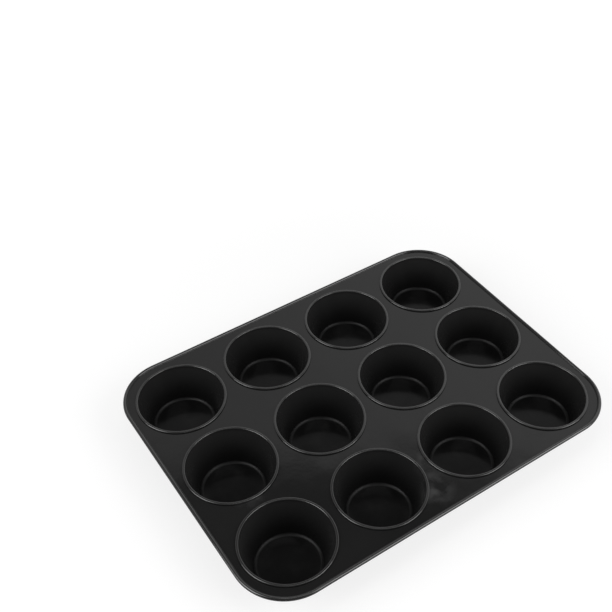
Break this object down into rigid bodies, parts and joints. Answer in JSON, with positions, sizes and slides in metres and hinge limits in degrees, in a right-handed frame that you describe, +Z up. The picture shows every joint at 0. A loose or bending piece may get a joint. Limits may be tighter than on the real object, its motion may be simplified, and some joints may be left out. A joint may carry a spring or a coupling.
{
  "type": "muffin tin",
  "caption": "Dark coated steel muffin tin: tapered round cups seamed into a flat top sheet with a rolled, wired rim.",
  "frame": {"origin": "under the middle of the tin, on the plane that the cup floors stand on", "axes": "+X along the longer side with four cups, +Y along the shorter side with three cups, +Z up out of the cups"},
  "size_m": [0.3374, 0.2568, 0.0313],
  "materials": {
    "coated_sheet": "semi-gloss baked non-stick coating, charcoal",
    "coated_cup": "semi-gloss baked non-stick coating, near black",
    "bare_wire": "drawn steel wire"
  },
  "bodies": {
    "root": {"top_sheet": "coated_sheet", "rim_wire": "bare_wire", "cup_row1_column1": "coated_cup", "cup_row1_column2": "coated_cup", "cup_row1_column3": "coated_cup", "cup_row1_column4": "coated_cup", "cup_row2_column1": "coated_cup", "cup_row2_column2": "coated_cup", "cup_row2_column3": "coated_cup", "cup_row2_column4": "coated_cup", "cup_row3_column1": "coated_cup", "cup_row3_column2": "coated_cup", "cup_row3_column3": "coated_cup", "cup_row3_column4": "coated_cup"}
  },
  "joints": []
}
